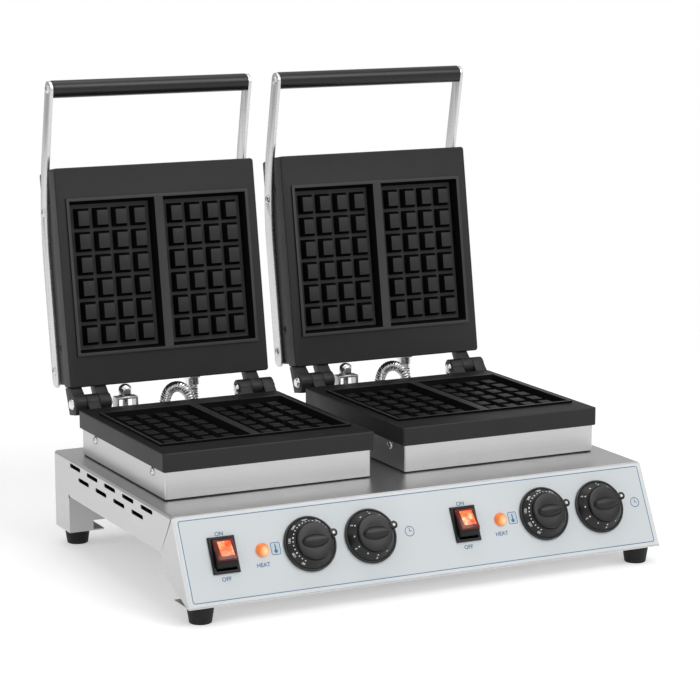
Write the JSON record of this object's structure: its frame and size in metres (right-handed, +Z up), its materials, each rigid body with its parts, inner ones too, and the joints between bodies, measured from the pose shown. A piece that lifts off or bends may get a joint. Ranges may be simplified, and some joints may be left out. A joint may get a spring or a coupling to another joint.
{
  "type": "twin waffle iron",
  "caption": "Countertop waffle iron with side-by-side hinged rectangular baking plates, stainless base, sloping control fascia, rocker switches, pilot lamps and knobs.",
  "frame": {"origin": "on the table, under the middle of the whole object with its lids open", "axes": "+Z up, +X to the right when facing the controls, -Y to the front"},
  "size_m": [0.48, 0.4078, 0.4436],
  "materials": {
    "stainless": "brushed",
    "pan_steel": "mill finish",
    "printed_overlay": "satin printed film",
    "foot_rubber": "matte",
    "zinc_fastener": "bright",
    "terminal_plastic": "matte",
    "black_nylon": "matte",
    "coated_casting": "non-stick coated, semi-matte",
    "heater_sheath": "heat stained",
    "pin_chrome": "polished",
    "conduit_steel": "corrugated, bright",
    "switch_black": "gloss",
    "rocker_red": "translucent gloss",
    "pilot_amber": "translucent gloss",
    "thermostat_metal": "plain",
    "knob_black": "satin",
    "cover_black": "heat-resistant semi-matte paint",
    "grip_black": "satin"
  },
  "bodies": {
    "base": {"chassis_shell": "stainless", "rear_panel": "stainless", "front_fascia": "stainless", "fascia_overlay": "printed_overlay", "bottom_pan": "pan_steel", "rubber_feet": "foot_rubber", "foot_screws": "zinc_fastener", "terminal_block": "terminal_plastic", "cable_gland": "black_nylon", "left_collar": "stainless", "left_collar_screws": "zinc_fastener", "left_lower_plate": "coated_casting", "left_lower_heater": "heater_sheath", "left_hinge_pins": "pin_chrome", "left_stop_bracket": "stainless", "left_stop_bolt": "pin_chrome", "left_conduit": "conduit_steel", "left_base_gland": "pin_chrome", "left_rocker_housing": "switch_black", "left_pilot_lamp": "pilot_amber", "left_thermostat_body": "thermostat_metal", "left_timer_body": "black_nylon", "left_control_bezels": "knob_black", "right_collar": "stainless", "right_collar_screws": "zinc_fastener", "right_lower_plate": "coated_casting", "right_lower_heater": "heater_sheath", "right_hinge_pins": "pin_chrome", "right_stop_bracket": "stainless", "right_stop_bolt": "pin_chrome", "right_conduit": "conduit_steel", "right_base_gland": "pin_chrome", "right_rocker_housing": "switch_black", "right_pilot_lamp": "pilot_amber", "right_thermostat_body": "thermostat_metal", "right_timer_body": "black_nylon", "right_control_bezels": "knob_black"},
    "left_lid": {"left_upper_plate": "coated_casting", "left_upper_heater": "heater_sheath", "left_lid_cover": "cover_black", "left_lid_left_arm": "stainless", "left_lid_right_arm": "stainless", "left_grip": "grip_black", "left_lid_screws": "zinc_fastener", "left_lid_gland": "pin_chrome"},
    "left_rocker": {"left_rocker_paddle": "rocker_red"},
    "left_thermostat": {"left_thermostat_knob": "knob_black"},
    "left_timer": {"left_timer_knob": "knob_black"},
    "right_lid": {"right_upper_plate": "coated_casting", "right_upper_heater": "heater_sheath", "right_lid_cover": "cover_black", "right_lid_left_arm": "stainless", "right_lid_right_arm": "stainless", "right_grip": "grip_black", "right_lid_screws": "zinc_fastener", "right_lid_gland": "pin_chrome"},
    "right_rocker": {"right_rocker_paddle": "rocker_red"},
    "right_thermostat": {"right_thermostat_knob": "knob_black"},
    "right_timer": {"right_timer_knob": "knob_black"}
  },
  "joints": [
    {"name": "left_lid_hinge", "type": "hinge", "parent": "base", "child": "left_lid", "pos_m": [-0.12, 0.11406, 0.1362], "axis": [1, 0, 0], "range_deg": [0, 99.45], "deforming": ["left_conduit"]},
    {"name": "left_rocker_tilt", "type": "hinge", "parent": "base", "child": "left_rocker", "pos_m": [-0.199, -0.18105, 0.05443], "axis": [1, 0, 0], "range_deg": [0, 36]},
    {"name": "left_thermostat_turn", "type": "hinge", "parent": "base", "child": "left_thermostat", "pos_m": [-0.116, -0.1839, 0.05589], "axis": [0, 0.8913, -0.4535], "range_deg": [0, 270]},
    {"name": "left_timer_turn", "type": "hinge", "parent": "base", "child": "left_timer", "pos_m": [-0.056, -0.1839, 0.05589], "axis": [0, 0.8913, -0.4535], "range_deg": [0, 300]},
    {"name": "right_lid_hinge", "type": "hinge", "parent": "base", "child": "right_lid", "pos_m": [0.12, 0.11406, 0.1362], "axis": [1, 0, 0], "range_deg": [0, 99.45], "deforming": ["right_conduit"]},
    {"name": "right_rocker_tilt", "type": "hinge", "parent": "base", "child": "right_rocker", "pos_m": [0.041, -0.18105, 0.05443], "axis": [1, 0, 0], "range_deg": [0, 36]},
    {"name": "right_thermostat_turn", "type": "hinge", "parent": "base", "child": "right_thermostat", "pos_m": [0.124, -0.1839, 0.05589], "axis": [0, 0.8913, -0.4535], "range_deg": [0, 270]},
    {"name": "right_timer_turn", "type": "hinge", "parent": "base", "child": "right_timer", "pos_m": [0.184, -0.1839, 0.05589], "axis": [0, 0.8913, -0.4535], "range_deg": [0, 300]}
  ]
}
